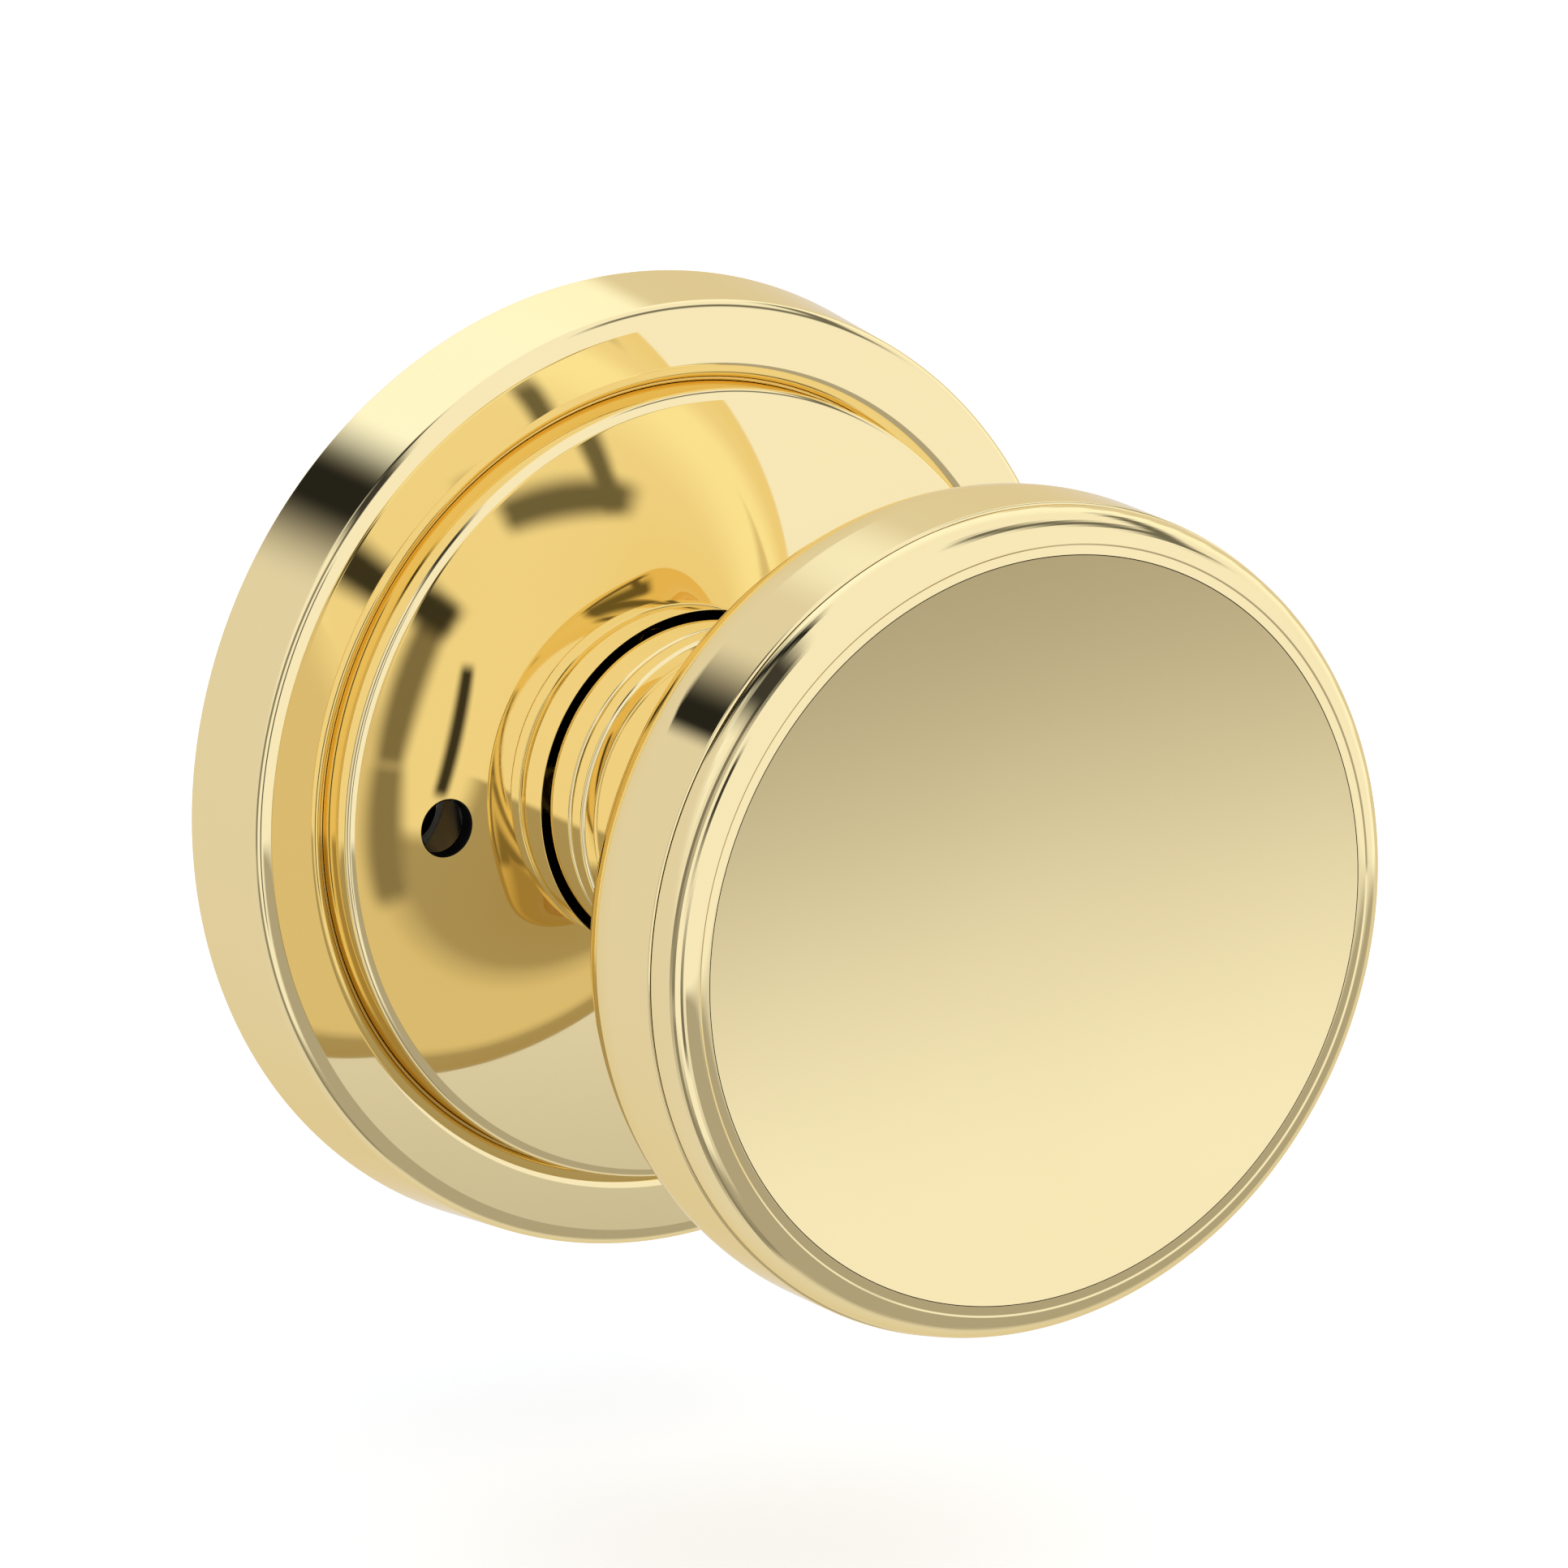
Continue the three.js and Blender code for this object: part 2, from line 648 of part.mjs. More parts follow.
function spindle() {
  const half = SPINDLE_SIDE / 2;
  const taper = 1.5;
  const tipHalf = 2.6;
  const bar = block([-half, half], [SPINDLE_BACK_H + taper, SPINDLE_FRONT_H], [-half, half]);
  const point = new THREE.CylinderGeometry(tipHalf * Math.SQRT2, half * Math.SQRT2, taper, 4);
  point.rotateY(Math.PI / 4).translate(0, -SPINDLE_BACK_H - taper / 2, 0);
  const crossPin = rodAcross(PIN_R + GAP, half + PAST, PIN_H);
  return node("spindle", cut(joined(bar, point), crossPin), steel);
}

// ---- The assembly ---------------------------------------------------------------------

function fixedPieces() {
  return [
    rosetteCover(),
    mountingPlate(),
    boltPost("bolt_post_top", POST_Z),
    boltPost("bolt_post_bottom", -POST_Z),
    springHousing(),
    ...EARS.map((place, index) => housingScrew(index, place)),
    returnSpring(),
    neckBushing(),
    releaseGuide(),
    releaseSpring(),
  ];
}

function turningPieces() {
  const boreR = SHANK_R + GAP;
  const thrustWasher = sleeve(boreR, 11.9, 4.5, COLLAR_BACK_H - GAP);
  const rearWasher = sleeve(boreR, 12.6, GROOVE_FRONT_H, HOUSING_BACK_H - GAP);
  const pin = rodAcross(PIN_R, SHANK_R - 0.2, PIN_H);
  return [
    knobBackShell(),
    knobFaceCap(),
    knobCore(),
    coreScrew(),
    knobShank(),
    neckCollar(),
    node("thrust_washer", thrustWasher, steel),
    driveCam(),
    node("rear_washer", rearWasher, springSteel),
    retainingRing(),
    spindle(),
    node("spindle_pin", pin, steel),
  ];
}

function releasePieces() {
  return [releasePlunger(), plungerClip()];
}

const doorKnob = new THREE.Group();
doorKnob.name = "door_knob";
doorKnob.add(...fixedPieces(), ...turningPieces(), ...releasePieces());

export default doorKnob;
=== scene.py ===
"""Looks of a round door knob on its rosette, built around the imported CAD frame.

Metres, +Z up. The knob's axis is the Y axis and it points along -Y, away from the door's
face, which is the plane y = 0. Sections are lists of (radius, height) in millimetres, where
height is the distance out from the door's face.
"""

import math

import bmesh
import bpy
from mathutils import Matrix, Vector
from mathutils.geometry import delaunay_2d_cdt


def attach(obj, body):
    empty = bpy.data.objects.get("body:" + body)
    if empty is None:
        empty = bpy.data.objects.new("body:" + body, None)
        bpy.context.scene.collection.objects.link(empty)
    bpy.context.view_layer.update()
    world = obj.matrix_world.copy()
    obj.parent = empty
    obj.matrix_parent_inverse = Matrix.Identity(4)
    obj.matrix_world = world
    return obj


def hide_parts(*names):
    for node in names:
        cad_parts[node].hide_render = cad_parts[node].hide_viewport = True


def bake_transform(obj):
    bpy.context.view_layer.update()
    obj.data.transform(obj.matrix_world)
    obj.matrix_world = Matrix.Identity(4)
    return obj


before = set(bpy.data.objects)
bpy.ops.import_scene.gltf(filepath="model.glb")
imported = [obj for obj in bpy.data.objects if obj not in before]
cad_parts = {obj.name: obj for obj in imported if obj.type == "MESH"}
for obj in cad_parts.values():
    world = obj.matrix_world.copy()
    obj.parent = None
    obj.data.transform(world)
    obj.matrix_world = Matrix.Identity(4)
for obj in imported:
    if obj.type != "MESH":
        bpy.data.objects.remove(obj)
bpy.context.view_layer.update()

MM = 0.001
SEGMENTS = 256                     # steps round a large turned piece
SMALL_SEGMENTS = 64                # steps round a small one
EDGE = 0.12                        # round on an edge that looks sharp, in millimetres
SAME = 0.0001                      # heights that differ by less are one height
SAME_SPOT = 1e-9                   # points of a flat fill that lie closer are one, in metres
JUST_INSIDE = 0.99999              # a triangle within this share of a hole's radius is in it
SHARP = math.radians(34)           # edges that turn by more stay sharp
NOISE_LOW, NOISE_HIGH = 0.3, 0.7   # where most of a noise texture's values lie


# ---- Sections ----------------------------------------------------------------------

def turn(vector, angle):
    """A 2-D vector turned by an angle, anticlockwise."""
    cosine, sine = math.cos(angle), math.sin(angle)
    return Vector((cosine * vector.x - sine * vector.y, sine * vector.x + cosine * vector.y))


def fillet(before, corner, after, radius, steps):
    """Points and outward normals of the round that replaces a corner, walked anticlockwise."""
    to_before = (before - corner).normalized()
    to_after = (after - corner).normalized()
    opening = to_before.angle(to_after)
    reach = radius / math.tan(opening / 2)
    centre = corner + (to_before + to_after).normalized() * (radius / math.sin(opening / 2))
    first = corner + to_before * reach - centre
    last = corner + to_after * reach - centre
    sweep = math.atan2(first.cross(last), first.dot(last))
    outward = 1 if sweep > 0 else -1
    spokes = [turn(first, sweep * i / steps) for i in range(steps + 1)]
    return [(centre + spoke, spoke.normalized() * outward) for spoke in spokes]


def signed_area(points):
    return sum(a.cross(b) for a, b in zip(points, points[1:] + points[:1])) / 2


def rounded(section):
    """A closed section, as (r, h) or (r, h, radius) or (r, h, radius, steps), with every corner
    rounded: a list of (point, outward normal) that runs anticlockwise."""
    corners = [(Vector(c[:2]), c[2] if len(c) > 2 else EDGE, c[3] if len(c) > 3 else 3)
               for c in section]
    if signed_area([c[0] for c in corners]) < 0:
        corners.reverse()
    points = []
    for i, (corner, radius, steps) in enumerate(corners):
        before = corners[i - 1][0]
        after = corners[(i + 1) % len(corners)][0]
        if corner.x == 0:
            points.append((corner, Vector((0, -1 if after.x > 0 else 1))))
        else:
            points += fillet(before, corner, after, radius, steps)
    return points


# ---- Meshes ------------------------------------------------------------------------

def place(r, h, angle, x=0.0, z=0.0):
    """A point at a radius and height, turned about an axis that stands at x, z."""
    return Vector(((x + r * math.cos(angle)) * MM, -h * MM, (z + r * math.sin(angle)) * MM))


def add_ring(vertices, normals, spot, segments, x=0.0, z=0.0):
    """Adds a ring at a point of a section, with its normals, and gives its vertices' numbers."""
    point, normal = spot
    ring = []
    for i in range(segments):
        angle = 2 * math.pi * i / segments
        ring.append(len(vertices))
        vertices.append(place(point.x, point.y, angle, x, z))
        normals.append(Vector((normal.x * math.cos(angle), -normal.y,
                               normal.x * math.sin(angle))))
    return ring


def bridged(lower, upper):
    """The faces between two rings. A ring that names one vertex over and over is a point."""
    faces = []
    for j in range(len(lower)):
        k = (j + 1) % len(lower)
        corners = [lower[j], lower[k], upper[k], upper[j]]
        faces.append([v for n, v in enumerate(corners) if v not in corners[:n]])
    return faces


def filled(vertices, loops):
    """Triangles that fill a flat area between round loops of vertices: the widest loop is its
    outside and the others are holes."""
    names = [v for loop in loops for v in loop]
    flat = [Vector((vertices[v].x, vertices[v].z)) for v in names]
    edges, circles, start = [], [], 0
    for loop in loops:
        count = len(loop)
        edges += [(start + i, start + (i + 1) % count) for i in range(count)]
        around = flat[start:start + count]
        centre = sum(around, Vector((0, 0))) / count
        circles.append((centre, (around[0] - centre).length))
        start += count
    circles.sort(key=lambda circle: -circle[1])
    made = delaunay_2d_cdt(flat, edges, [], 0, SAME_SPOT)
    kept = []
    for found in made[2]:
        triangle = [made[3][i][0] for i in found]
        middle = sum((flat[i] for i in triangle), Vector((0, 0))) / 3
        in_hole = any((middle - centre).length < radius * JUST_INSIDE
                      for centre, radius in circles[1:])
        if not in_hole and (middle - circles[0][0]).length < circles[0][1]:
            kept.append([names[i] for i in triangle])
    return kept


def finished(name, mesh_data, normals, material, body, replaced):
    """The object made from vertices, faces and a normal at each vertex."""
    vertices, faces = mesh_data
    mesh = bpy.data.meshes.new(name)
    mesh.from_pydata(vertices, [], faces)
    shape = bmesh.new()
    shape.from_mesh(mesh)
    bmesh.ops.recalc_face_normals(shape, faces=shape.faces)
    shape.to_mesh(mesh)
    shape.free()
    for polygon in mesh.polygons:
        polygon.use_smooth = True
    mesh.normals_split_custom_set_from_vertices([tuple(n) for n in normals])
    piece = bpy.data.objects.new(name, mesh)
    bpy.context.scene.collection.objects.link(piece)
    mesh.materials.append(material)
    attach(piece, body)
    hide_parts(*replaced)
    return piece


def lathe(section, segments=SEGMENTS, x=0.0, z=0.0, skip=()):
    """A solid of revolution: its vertices, faces and normals, and the rings and section points
    that they come from. A flat ring at one of the heights in skip is left open."""
    points = rounded(section)
    vertices, normals, rings = [], [], []
    for point, normal in points:
        if point.x == 0:
            rings.append([len(vertices)] * segments)
            vertices.append(place(0, point.y, 0, x, z))
            normals.append(Vector((0, -normal.y, 0)))
        else:
            rings.append(add_ring(vertices, normals, (point, normal), segments, x, z))
    faces = []
    for i, ring in enumerate(rings):
        following = (i + 1) % len(rings)
        here, there = points[i][0], points[following][0]
        on_axis = here.x == 0 and there.x == 0
        skipped = any(max(abs(here.y - h), abs(there.y - h)) < SAME for h in skip)
        if not on_axis and not skipped:
            faces += bridged(ring, rings[following])
    return vertices, faces, normals, rings, points


def turned_piece(name, section, material, body, replaced, segments=SEGMENTS, x=0.0, z=0.0):
    vertices, faces, normals, _, _ = lathe(section, segments, x, z)
    return finished(name, (vertices, faces), normals, material, body, replaced)


# ---- Solids that aren't only turned --------------------------------------------------

def solid_of_revolution(section, segments=SMALL_SEGMENTS, x=0.0, z=0.0):
    vertices, faces, _, _, _ = lathe(section, segments, x, z)
    return vertices, faces


def extruded(outline, from_h, to_h):
    """A prism along the knob's axis from an anticlockwise outline of (x, z) in millimetres."""
    count = len(outline)
    vertices = [Vector((x * MM, -h * MM, z * MM)) for h in (from_h, to_h) for x, z in outline]
    faces = [list(range(count)), list(range(2 * count - 1, count - 1, -1))]
    faces += [[i, i + count, (i + 1) % count + count, (i + 1) % count] for i in range(count)]
    return vertices, faces


def rod(radius, from_h, to_h, x=0.0, z=0.0, steps=SMALL_SEGMENTS):
    """A round bar along the knob's axis."""
    angles = [2 * math.pi * i / steps for i in range(steps)]
    return extruded([(x + radius * math.cos(a), z + radius * math.sin(a)) for a in angles],
                    from_h, to_h)


def wedge(inner_r, outer_r, half_deg, from_h, to_h, middle_deg=0.0, steps=48):
    """Part of a ring."""
    middle, half = math.radians(middle_deg), math.radians(half_deg)
    angles = [middle - half + 2 * half * i / steps for i in range(steps + 1)]
    outline = [(outer_r * math.cos(a), outer_r * math.sin(a)) for a in angles]
    outline += [(inner_r * math.cos(a), inner_r * math.sin(a)) for a in reversed(angles)]
    return extruded(outline, from_h, to_h)


def bar(x_range, z_range, from_h, to_h, turned_deg=0.0):
    """A block along the knob's axis, turned about that axis."""
    angle = math.radians(turned_deg)
    corners = [(x_range[0], z_range[0]), (x_range[1], z_range[0]),
               (x_range[1], z_range[1]), (x_range[0], z_range[1])]
    return extruded([(x * math.cos(angle) - z * math.sin(angle),
                      x * math.sin(angle) + z * math.cos(angle)) for x, z in corners],
                    from_h, to_h)


def scratch(data):
    """An object for a boolean, which carved() removes again."""
    mesh = bpy.data.meshes.new("scratch")
    mesh.from_pydata(data[0], [], data[1])
    shape = bmesh.new()
    shape.from_mesh(mesh)
    bmesh.ops.recalc_face_normals(shape, faces=shape.faces)
    shape.to_mesh(mesh)
    shape.free()
    thing = bpy.data.objects.new("scratch", mesh)
    bpy.context.scene.collection.objects.link(thing)
    return thing


def carved(name, base, joins, cuts, material, body, replaced, bevel=0.0):
    """A piece made from a base solid, others joined to it and others cut from it. bevel is the
    width of its eased edges, in millimetres."""
    thing = scratch(base)
    tools = []
    for operation, group in (("UNION", joins), ("DIFFERENCE", cuts)):
        for data in group:
            tool = scratch(data)
            modifier = thing.modifiers.new("carve", "BOOLEAN")
            modifier.operation = operation
            modifier.solver = "EXACT"
            modifier.object = tool
            tools.append(tool)
    graph = bpy.context.evaluated_depsgraph_get()
    mesh = bpy.data.meshes.new_from_object(thing.evaluated_get(graph))
    for scrap in [thing, *tools]:
        bpy.data.objects.remove(scrap)
    mesh.name = name
    for polygon in mesh.polygons:
        polygon.use_smooth = True
    mesh.set_sharp_from_angle(angle=SHARP)
    mesh.materials.clear()
    mesh.materials.append(material)
    piece = bpy.data.objects.new(name, mesh)
    bpy.context.scene.collection.objects.link(piece)
    if bevel:
        edges = piece.modifiers.new("edges", "BEVEL")
        edges.width = bevel * MM
        edges.segments = 2
        edges.limit_method = "ANGLE"
        edges.angle_limit = SHARP
    normals = piece.modifiers.new("normals", "WEIGHTED_NORMAL")
    normals.keep_sharp = True
    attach(piece, body)
    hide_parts(*replaced)
    return piece


def wire(name, path, radius, material, replaced, sides=16):
    """A round wire along a list of points in millimetres, closed at both ends by a round nose."""
    points = [Vector(p) * MM for p in path]
    vertices, faces, rings = [], [], []
    count = len(points)
    normal = None
    for i, point in enumerate(points):
        ahead = (points[min(i + 1, count - 1)] - points[max(i - 1, 0)]).normalized()
        normal = ahead.orthogonal() if normal is None else normal
        normal = (normal - ahead * normal.dot(ahead)).normalized()
        other = ahead.cross(normal)
        ring = []
        for k in range(sides):
            angle = 2 * math.pi * k / sides
            spoke = normal * math.cos(angle) + other * math.sin(angle)
            ring.append(len(vertices))
            vertices.append(point + spoke * radius * MM)
        rings.append(ring)
    for lower, upper in zip(rings, rings[1:]):
        faces += bridged(lower, upper)
    for ring, at, inner in ((rings[0], points[0], points[1]),
                            (rings[-1], points[-1], points[-2])):
        tip = len(vertices)
        vertices.append(at + (at - inner).normalized() * radius * 0.4 * MM)
        loop = list(reversed(ring)) if ring is rings[0] else ring
        faces += [[loop[k], loop[(k + 1) % sides], tip] for k in range(sides)]
    mesh = bpy.data.meshes.new(name)
    mesh.from_pydata(vertices, [], faces)
    for polygon in mesh.polygons:
        polygon.use_smooth = True
    mesh.materials.append(material)
    piece = bpy.data.objects.new(name, mesh)
    bpy.context.scene.collection.objects.link(piece)
    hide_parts(*replaced)
    return piece


# ---- Materials ---------------------------------------------------------------------

class Finish:
    """A procedural material: a Principled shader with layers of noise on its colour,
    roughness and surface, all in object coordinates."""

    def __init__(self, name, colour, metallic, roughness, tint=None):
        self.material = bpy.data.materials.new(name)
        self.material.use_nodes = True
        self.nodes = self.material.node_tree.nodes
        self.links = self.material.node_tree.links
        self.shader = self.nodes["Principled BSDF"]
        self.shader.inputs["Base Color"].default_value = (*colour, 1)
        self.shader.inputs["Metallic"].default_value = metallic
        self.shader.inputs["Roughness"].default_value = roughness
        if tint:
            self.shader.inputs["Specular Tint"].default_value = (*tint, 1)
        self.place = self.nodes.new("ShaderNodeTexCoord").outputs["Object"]
        self.bumped = None

    def noise(self, scale, detail=3.0, stretch=None):
        """Noise of that many features a metre, drawn out along an axis by stretch."""
        place = self.place
        if stretch:
            mapping = self.nodes.new("ShaderNodeMapping")
            mapping.inputs["Scale"].default_value = stretch
            self.links.new(place, mapping.inputs["Vector"])
            place = mapping.outputs["Vector"]
        texture = self.nodes.new("ShaderNodeTexNoise")
        texture.inputs["Scale"].default_value = scale
        texture.inputs["Detail"].default_value = detail
        self.links.new(place, texture.inputs["Vector"])
        return texture.outputs["Fac"]

    def spots(self, scale):
        texture = self.nodes.new("ShaderNodeTexVoronoi")
        texture.inputs["Scale"].default_value = scale
        self.links.new(self.place, texture.inputs["Vector"])
        return texture.outputs["Distance"]

    def spread(self, value, low, high):
        """The value taken from the middle range of noise to another range."""
        node = self.nodes.new("ShaderNodeMapRange")
        self.links.new(value, node.inputs["Value"])
        node.inputs["From Min"].default_value = NOISE_LOW
        node.inputs["From Max"].default_value = NOISE_HIGH
        node.inputs["To Min"].default_value = low
        node.inputs["To Max"].default_value = high
        return node.outputs["Result"]

    def colours(self, value, dark, light):
        """Two colours mixed by the value."""
        ramp = self.nodes.new("ShaderNodeValToRGB")
        ramp.color_ramp.elements[0].position = NOISE_LOW
        ramp.color_ramp.elements[0].color = (*dark, 1)
        ramp.color_ramp.elements[1].position = NOISE_HIGH
        ramp.color_ramp.elements[1].color = (*light, 1)
        self.links.new(value, ramp.inputs["Fac"])
        self.links.new(ramp.outputs["Color"], self.shader.inputs["Base Color"])

    def rough(self, value, low, high):
        self.links.new(self.spread(value, low, high), self.shader.inputs["Roughness"])

    def bump(self, value, strength, depth):
        """Raises the surface by the value: depth is in millimetres."""
        node = self.nodes.new("ShaderNodeBump")
        node.inputs["Strength"].default_value = strength
        node.inputs["Distance"].default_value = depth * MM
        self.links.new(value, node.inputs["Height"])
        if self.bumped:
            self.links.new(self.bumped, node.inputs["Normal"])
        self.bumped = node.outputs["Normal"]
        self.links.new(self.bumped, self.shader.inputs["Normal"])


def polished_brass():
    """Mirror polished brass under clear lacquer: faint buffing haze and a slow ripple."""
    finish = Finish("polished_brass", (0.93, 0.79, 0.455), 1.0, 0.02, tint=(0.95, 0.85, 0.62))
    finish.colours(finish.noise(60, 2), (0.925, 0.785, 0.450), (0.935, 0.795, 0.460))
    finish.rough(finish.noise(900, 4, (1, 0.2, 1)), 0.015, 0.032)
    return finish.material


def cast_zinc():
    """Die cast zinc as it leaves the mould: dull, clouded and slightly pitted."""
    finish = Finish("die_cast_zinc", (0.50, 0.51, 0.52), 1.0, 0.45)
    finish.colours(finish.noise(140, 4), (0.40, 0.41, 0.42), (0.56, 0.57, 0.58))
    finish.rough(finish.noise(500, 4), 0.38, 0.58)
    finish.bump(finish.noise(2400, 3), 0.35, 0.03)
    finish.bump(finish.spots(900), 0.15, 0.03)
    return finish.material


def plated_steel():
    """Pressed or turned steel with bright zinc plating: fine lines and a bluish cloud."""
    finish = Finish("zinc_plated_steel", (0.72, 0.73, 0.74), 1.0, 0.28)
    finish.colours(finish.noise(90, 3), (0.62, 0.64, 0.67), (0.76, 0.76, 0.75))
    finish.rough(finish.noise(260, 5), 0.22, 0.40)
    finish.bump(finish.noise(700, 3, (1, 12, 1)), 0.12, 0.02)
    return finish.material


def spring_steel():
    """Dark oiled wire with drawing marks."""
    finish = Finish("spring_steel", (0.20, 0.20, 0.21), 1.0, 0.35)
    finish.colours(finish.noise(220, 3), (0.13, 0.13, 0.14), (0.26, 0.26, 0.27))
    finish.rough(finish.noise(700, 4), 0.26, 0.46)
    finish.bump(finish.noise(3000, 2), 0.2, 0.01)
    return finish.material


def natural_nylon():
    """Moulded off-white nylon, a little waxy."""
    finish = Finish("white_nylon", (0.80, 0.78, 0.71), 0.0, 0.42)
    finish.colours(finish.noise(120, 3), (0.76, 0.73, 0.65), (0.83, 0.81, 0.75))
    finish.rough(finish.noise(600, 3), 0.34, 0.50)
    finish.bump(finish.noise(2600, 2), 0.2, 0.015)
    finish.shader.inputs["Subsurface Weight"].default_value = 0.15
    finish.shader.inputs["Subsurface Scale"].default_value = 0.002
    return finish.material


def black_acetal():
    """Moulded black acetal for the plunger, with a fine grain. The same near-black material is also
    laid on the wall of the rosette's release hole as painted shade.
    """
    finish = Finish("black_acetal", (0.005, 0.005, 0.005), 0.0, 0.6)
    finish.colours(finish.noise(200, 3), (0.003, 0.003, 0.003), (0.008, 0.008, 0.008))
    finish.rough(finish.noise(800, 3), 0.55, 0.7)
    finish.bump(finish.noise(3000, 2), 0.2, 0.01)
    finish.shader.inputs["Specular IOR Level"].default_value = 0.02
    return finish.material


brass = polished_brass()
zinc = cast_zinc()
steel = plated_steel()
dark_steel = spring_steel()
nylon = natural_nylon()
# near-black plastic for the plunger, also used as painted shade on the rosette's release hole wall
acetal_and_hole_shade = black_acetal()

# ---- Rosette -------------------------------------------------------------------------

ROSE_BACK_R, ROSE_FRONT_R = 34.0, 33.33
RING_INNER_R, RING_H = 28.22, 8.0
DISH_WALL_R, DISH_H = 27.9, 10.72
COVER_T, NECK_HOLE_R = 1.2, 12.35
RELEASE_X, RELEASE_HOLE_R = -20.05, 1.95


def rosette_cover():
    """The rosette's turned shell with the release hole through its plate. The hole's wall is painted
    shade: it gets the near-black plastic material in place of brass.
    """
    under = DISH_H - COVER_T
    vertices, faces, normals, rings, points = lathe([
        (ROSE_BACK_R, 0),
        (ROSE_FRONT_R, RING_H, 1.25, 12),
        (RING_INNER_R, RING_H, 1.3, 12),
        (DISH_WALL_R + 0.03, 6.95, 0.03),
        (DISH_WALL_R, DISH_H, 0.7, 10),
        (NECK_HOLE_R, DISH_H, 0.15),
        (NECK_HOLE_R, under),
        (DISH_WALL_R - COVER_T, under),
        (DISH_WALL_R - COVER_T, 6.1),
        (31.75, 6.7),
        (ROSE_BACK_R - COVER_T, 0),
    ], skip=(DISH_H, under))
    wall = [(RELEASE_HOLE_R, DISH_H, 0.12), (RELEASE_HOLE_R, under, 0.12)]
    far = RELEASE_HOLE_R + 1
    wall_rings = [add_ring(vertices, normals, spot, SMALL_SEGMENTS, RELEASE_X)
                  for spot in rounded([(far, DISH_H), *wall, (far, under)])
                  if spot[0].x < far - 0.5]
    wall_start = len(faces)
    for lower, upper in zip(wall_rings, wall_rings[1:]):
        faces += bridged(lower, upper)
    wall_end = len(faces)
    for height in (DISH_H, under):
        loops = [ring for ring, (point, _) in zip(rings, points) if abs(point.y - height) < SAME]
        loops += [ring for ring in (wall_rings[0], wall_rings[-1])
                  if abs(vertices[ring[0]].y + height * MM) < SAME * MM]
        faces += filled(vertices, loops)
    cover = finished("rosette_skin", (vertices, faces), normals, brass, "fixed",
                     ["rosette_cover"])
    # painted shade: the release hole's brass wall gets the near-black plastic material, standing in
    # for the dark inside of the hole
    cover.data.materials.append(acetal_and_hole_shade)
    for polygon in cover.data.polygons[wall_start:wall_end]:
        polygon.material_index = 1


rosette_cover()

# ---- Knob's brass shells ---------------------------------------------------------------

BEND = math.radians(66)
NECK_R, KNOB_R, ROUND_R, SIDE_BACK_H, SIDE_FRONT_H = 11.4, 29.0, 8.3, 45.9, 50.8
NECK_BACK_H, SHELL_T = 15.8, 1.0


def shell_corners(inset):
    """The two corners of the shell's back, each with the radius of its round."""
    meet_r = KNOB_R - ROUND_R + ROUND_R * math.cos(BEND)
    meet_h = SIDE_BACK_H - ROUND_R * math.sin(BEND)
    slope = 1 / math.tan(BEND)
    flare_r = (meet_r - NECK_R) / (1 - math.cos(BEND))
    shift = inset * math.tan(math.pi / 4 - (math.pi / 2 - BEND) / 2)
    return [(NECK_R - inset, meet_h - (meet_r - NECK_R) * slope + shift, flare_r + inset, 48),
            (KNOB_R - inset, meet_h + (KNOB_R - meet_r) * slope + shift, ROUND_R - inset, 32)]


turned_piece("knob_back_skin", [
    (NECK_R - SHELL_T, NECK_BACK_H),
    (NECK_R, NECK_BACK_H),
    *shell_corners(0),
    (KNOB_R, SIDE_FRONT_H, 0.2),
    (KNOB_R - SHELL_T, SIDE_FRONT_H),
    *reversed(shell_corners(SHELL_T)),
], brass, "knob", ["knob_back_shell"])

CAP_EDGE_R, FACE_R, FACE_EDGE_H, FACE_MIDDLE_H = 28.85, 26.8, 53.85, 53.52
CAP_BACK_H = SIDE_FRONT_H + 0.1
SKIRT_OUT, SKIRT_BACK_H = 27.9, 46.4
DISH_ROUND_R = 1030                # how gently the face is dished


def cap_edge():
    """The face cap's rounded edge, from its seam with the shell to its lip."""
    steps = 20
    angles = [math.radians(90 * i / steps) for i in range(steps + 1)]
    return [(FACE_R + (CAP_EDGE_R - FACE_R) * math.cos(a),
             CAP_BACK_H + (FACE_EDGE_H - CAP_BACK_H) * math.sin(a), 0.05, 2) for a in angles]


turned_piece("knob_face_skin", [
    *cap_edge(),
    (FACE_R - 0.1, FACE_EDGE_H - 0.07, 0.04, 4),
    (FACE_R - 0.5, FACE_EDGE_H, 3.0, 12),
    (13.15, FACE_MIDDLE_H, DISH_ROUND_R, 24),
    (0, FACE_MIDDLE_H),
    (0, FACE_MIDDLE_H - SHELL_T),
    (26.6, FACE_EDGE_H - SHELL_T, 0.3),
    (SKIRT_OUT - SHELL_T, 51.9, 0.3),
    (SKIRT_OUT - SHELL_T, SKIRT_BACK_H),
    (SKIRT_OUT, SKIRT_BACK_H),
    (SKIRT_OUT, CAP_BACK_H),
], brass, "knob", ["knob_face_cap"])

COLLAR_R, BEAD_R, COLLAR_BORE_R = 12.0, 12.1, 9.6
COLLAR_BACK_H, COLLAR_FRONT_H = 5.0, 15.7

turned_piece("neck_collar_skin", [
    (COLLAR_BORE_R, COLLAR_BACK_H),
    (COLLAR_R, COLLAR_BACK_H, 0.3),
    (COLLAR_R, 13.6, 0.25),
    (COLLAR_R - 0.4, 13.75, 0.05),
    (BEAD_R, 14.0, 0.4, 6),
    (BEAD_R, 15.4, 0.4, 6),
    (11.3, COLLAR_FRONT_H, 0.05),
    (COLLAR_BORE_R, COLLAR_FRONT_H),
], brass, "knob", ["neck_collar"])

# ---- Plate, posts and housing ------------------------------------------------------------

